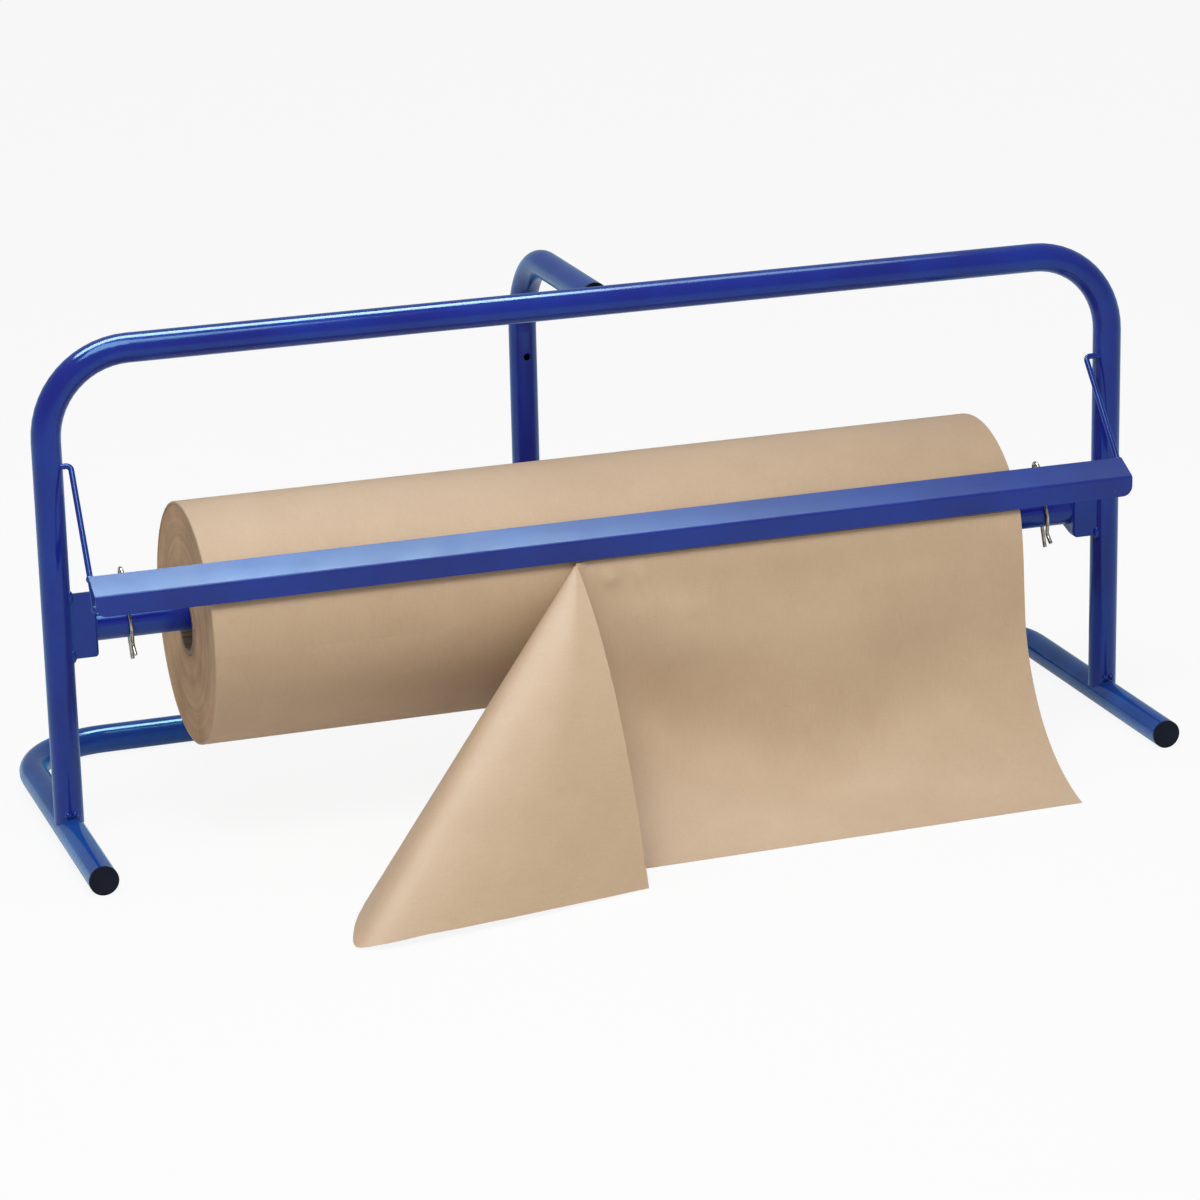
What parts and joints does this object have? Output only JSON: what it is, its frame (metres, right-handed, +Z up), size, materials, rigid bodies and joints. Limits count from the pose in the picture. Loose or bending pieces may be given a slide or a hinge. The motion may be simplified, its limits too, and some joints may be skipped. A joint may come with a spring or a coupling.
{
  "type": "gift wrap paper cutter",
  "caption": "Tube frame that stands on a counter and carries a wide paper roll on a shaft, with a hinged bar that tears the paper and a sheet hanging down.",
  "frame": {"origin": "on the table, midway between the two upright posts", "axes": "+X to the right along the roll as seen from the front, +Y to the back, +Z up"},
  "size_m": [0.983, 0.5475, 0.436],
  "materials": {
    "blue_paint": "glossy stove enamel, dark blue",
    "plug_plastic": "smooth moulded, near black",
    "spring_steel": "bright zinc-plated wire",
    "kraft_paper": "matte brown kraft paper",
    "core_board": "matte wound board"
  },
  "bodies": {
    "frame": {"portal_frame": "blue_paint", "base_frame": "blue_paint", "rear_stay": "blue_paint", "foot_plug_left": "plug_plastic", "foot_plug_right": "plug_plastic", "stay_plug": "plug_plastic", "saddle_left": "blue_paint", "saddle_right": "blue_paint", "post_welds": "blue_paint", "stay_welds": "blue_paint", "saddle_welds": "blue_paint"},
    "cutter": {"cutter_bar": "blue_paint", "arm_left": "blue_paint", "arm_right": "blue_paint", "bar_welds": "blue_paint"},
    "shaft_set": {"roll_shaft": "blue_paint", "clip_left": "spring_steel", "clip_right": "spring_steel", "paper_sheet": "kraft_paper"},
    "roll": {"roll_core": "core_board", "paper_roll": "kraft_paper"}
  },
  "joints": [
    {"name": "cutter_swing", "type": "hinge", "parent": "frame", "child": "cutter", "pos_m": [0, -0.0065, 0.33], "axis": [-1, 0, 0], "range_deg": [0, 130]},
    {"name": "roll_lift", "type": "slide", "parent": "frame", "child": "shaft_set", "axis": [0, 0.766, 0.6428], "range_m": [0, 0.06]},
    {"name": "roll_spin", "type": "hinge", "parent": "shaft_set", "child": "roll", "pos_m": [0, 0.0108, 0.1777], "axis": [1, 0, 0], "continuous": true}
  ]
}
